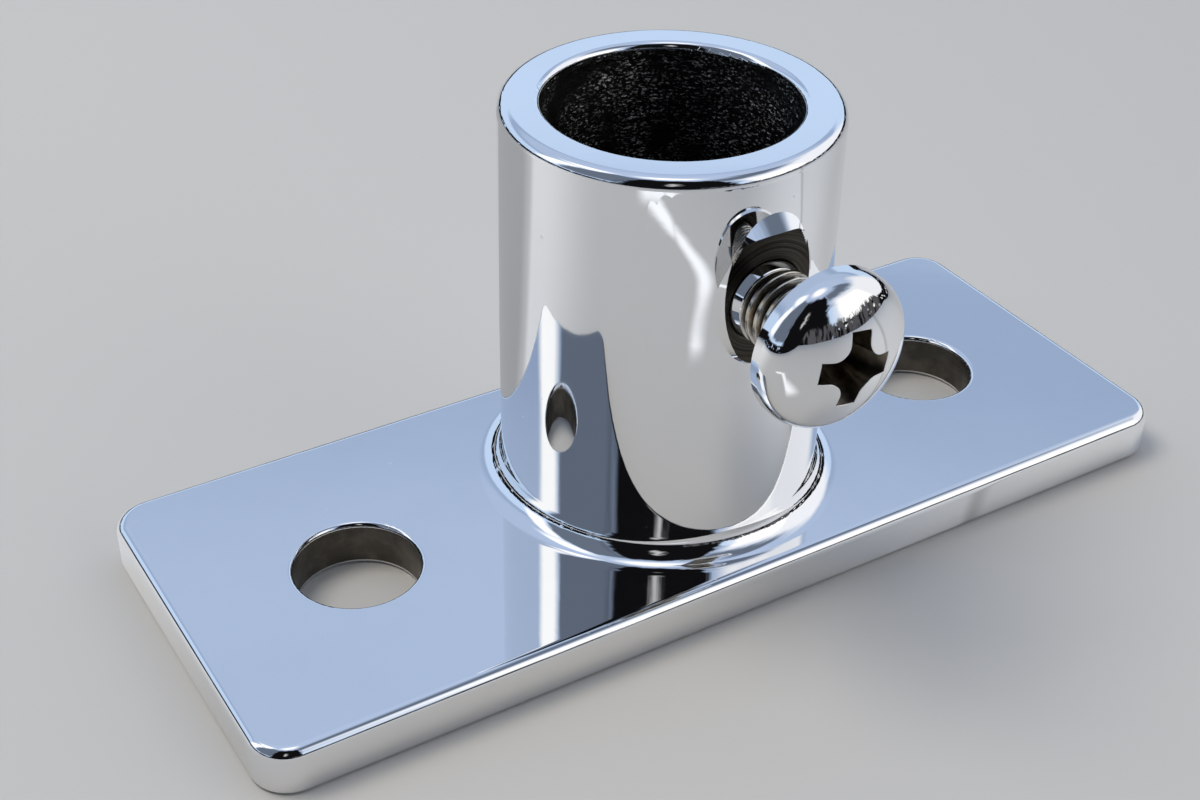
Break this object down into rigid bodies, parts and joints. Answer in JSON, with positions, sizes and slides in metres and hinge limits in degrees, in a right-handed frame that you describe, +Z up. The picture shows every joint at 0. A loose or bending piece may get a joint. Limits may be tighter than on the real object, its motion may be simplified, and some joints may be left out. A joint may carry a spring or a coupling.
{
  "type": "tube clamp base flange",
  "caption": "Rectangular bolt-down base plate with an upright round tube socket and a pan head screw that clamps the tube.",
  "frame": {"origin": "where the socket's axis meets the underside of the base plate", "axes": "+X along the plate and the two bolt holes, +Z up the socket, the clamp screw points along -Y"},
  "size_m": [0.11, 0.0521, 0.0484],
  "materials": {
    "polished_casting": "mirror polished bright plate; dark as-cast bore, satin machined holes and seat",
    "plated_screw": "mirror bright head, nickel-grey thread, dark cross recess"
  },
  "bodies": {
    "base": {"flange": "polished_casting"},
    "screw": {"clamp_screw": "plated_screw"}
  },
  "joints": [
    {"name": "clamp_screw_travel", "type": "slide", "parent": "base", "child": "screw", "axis": [0, -1, 0], "range_m": [-0.0065, 0.0035]}
  ]
}
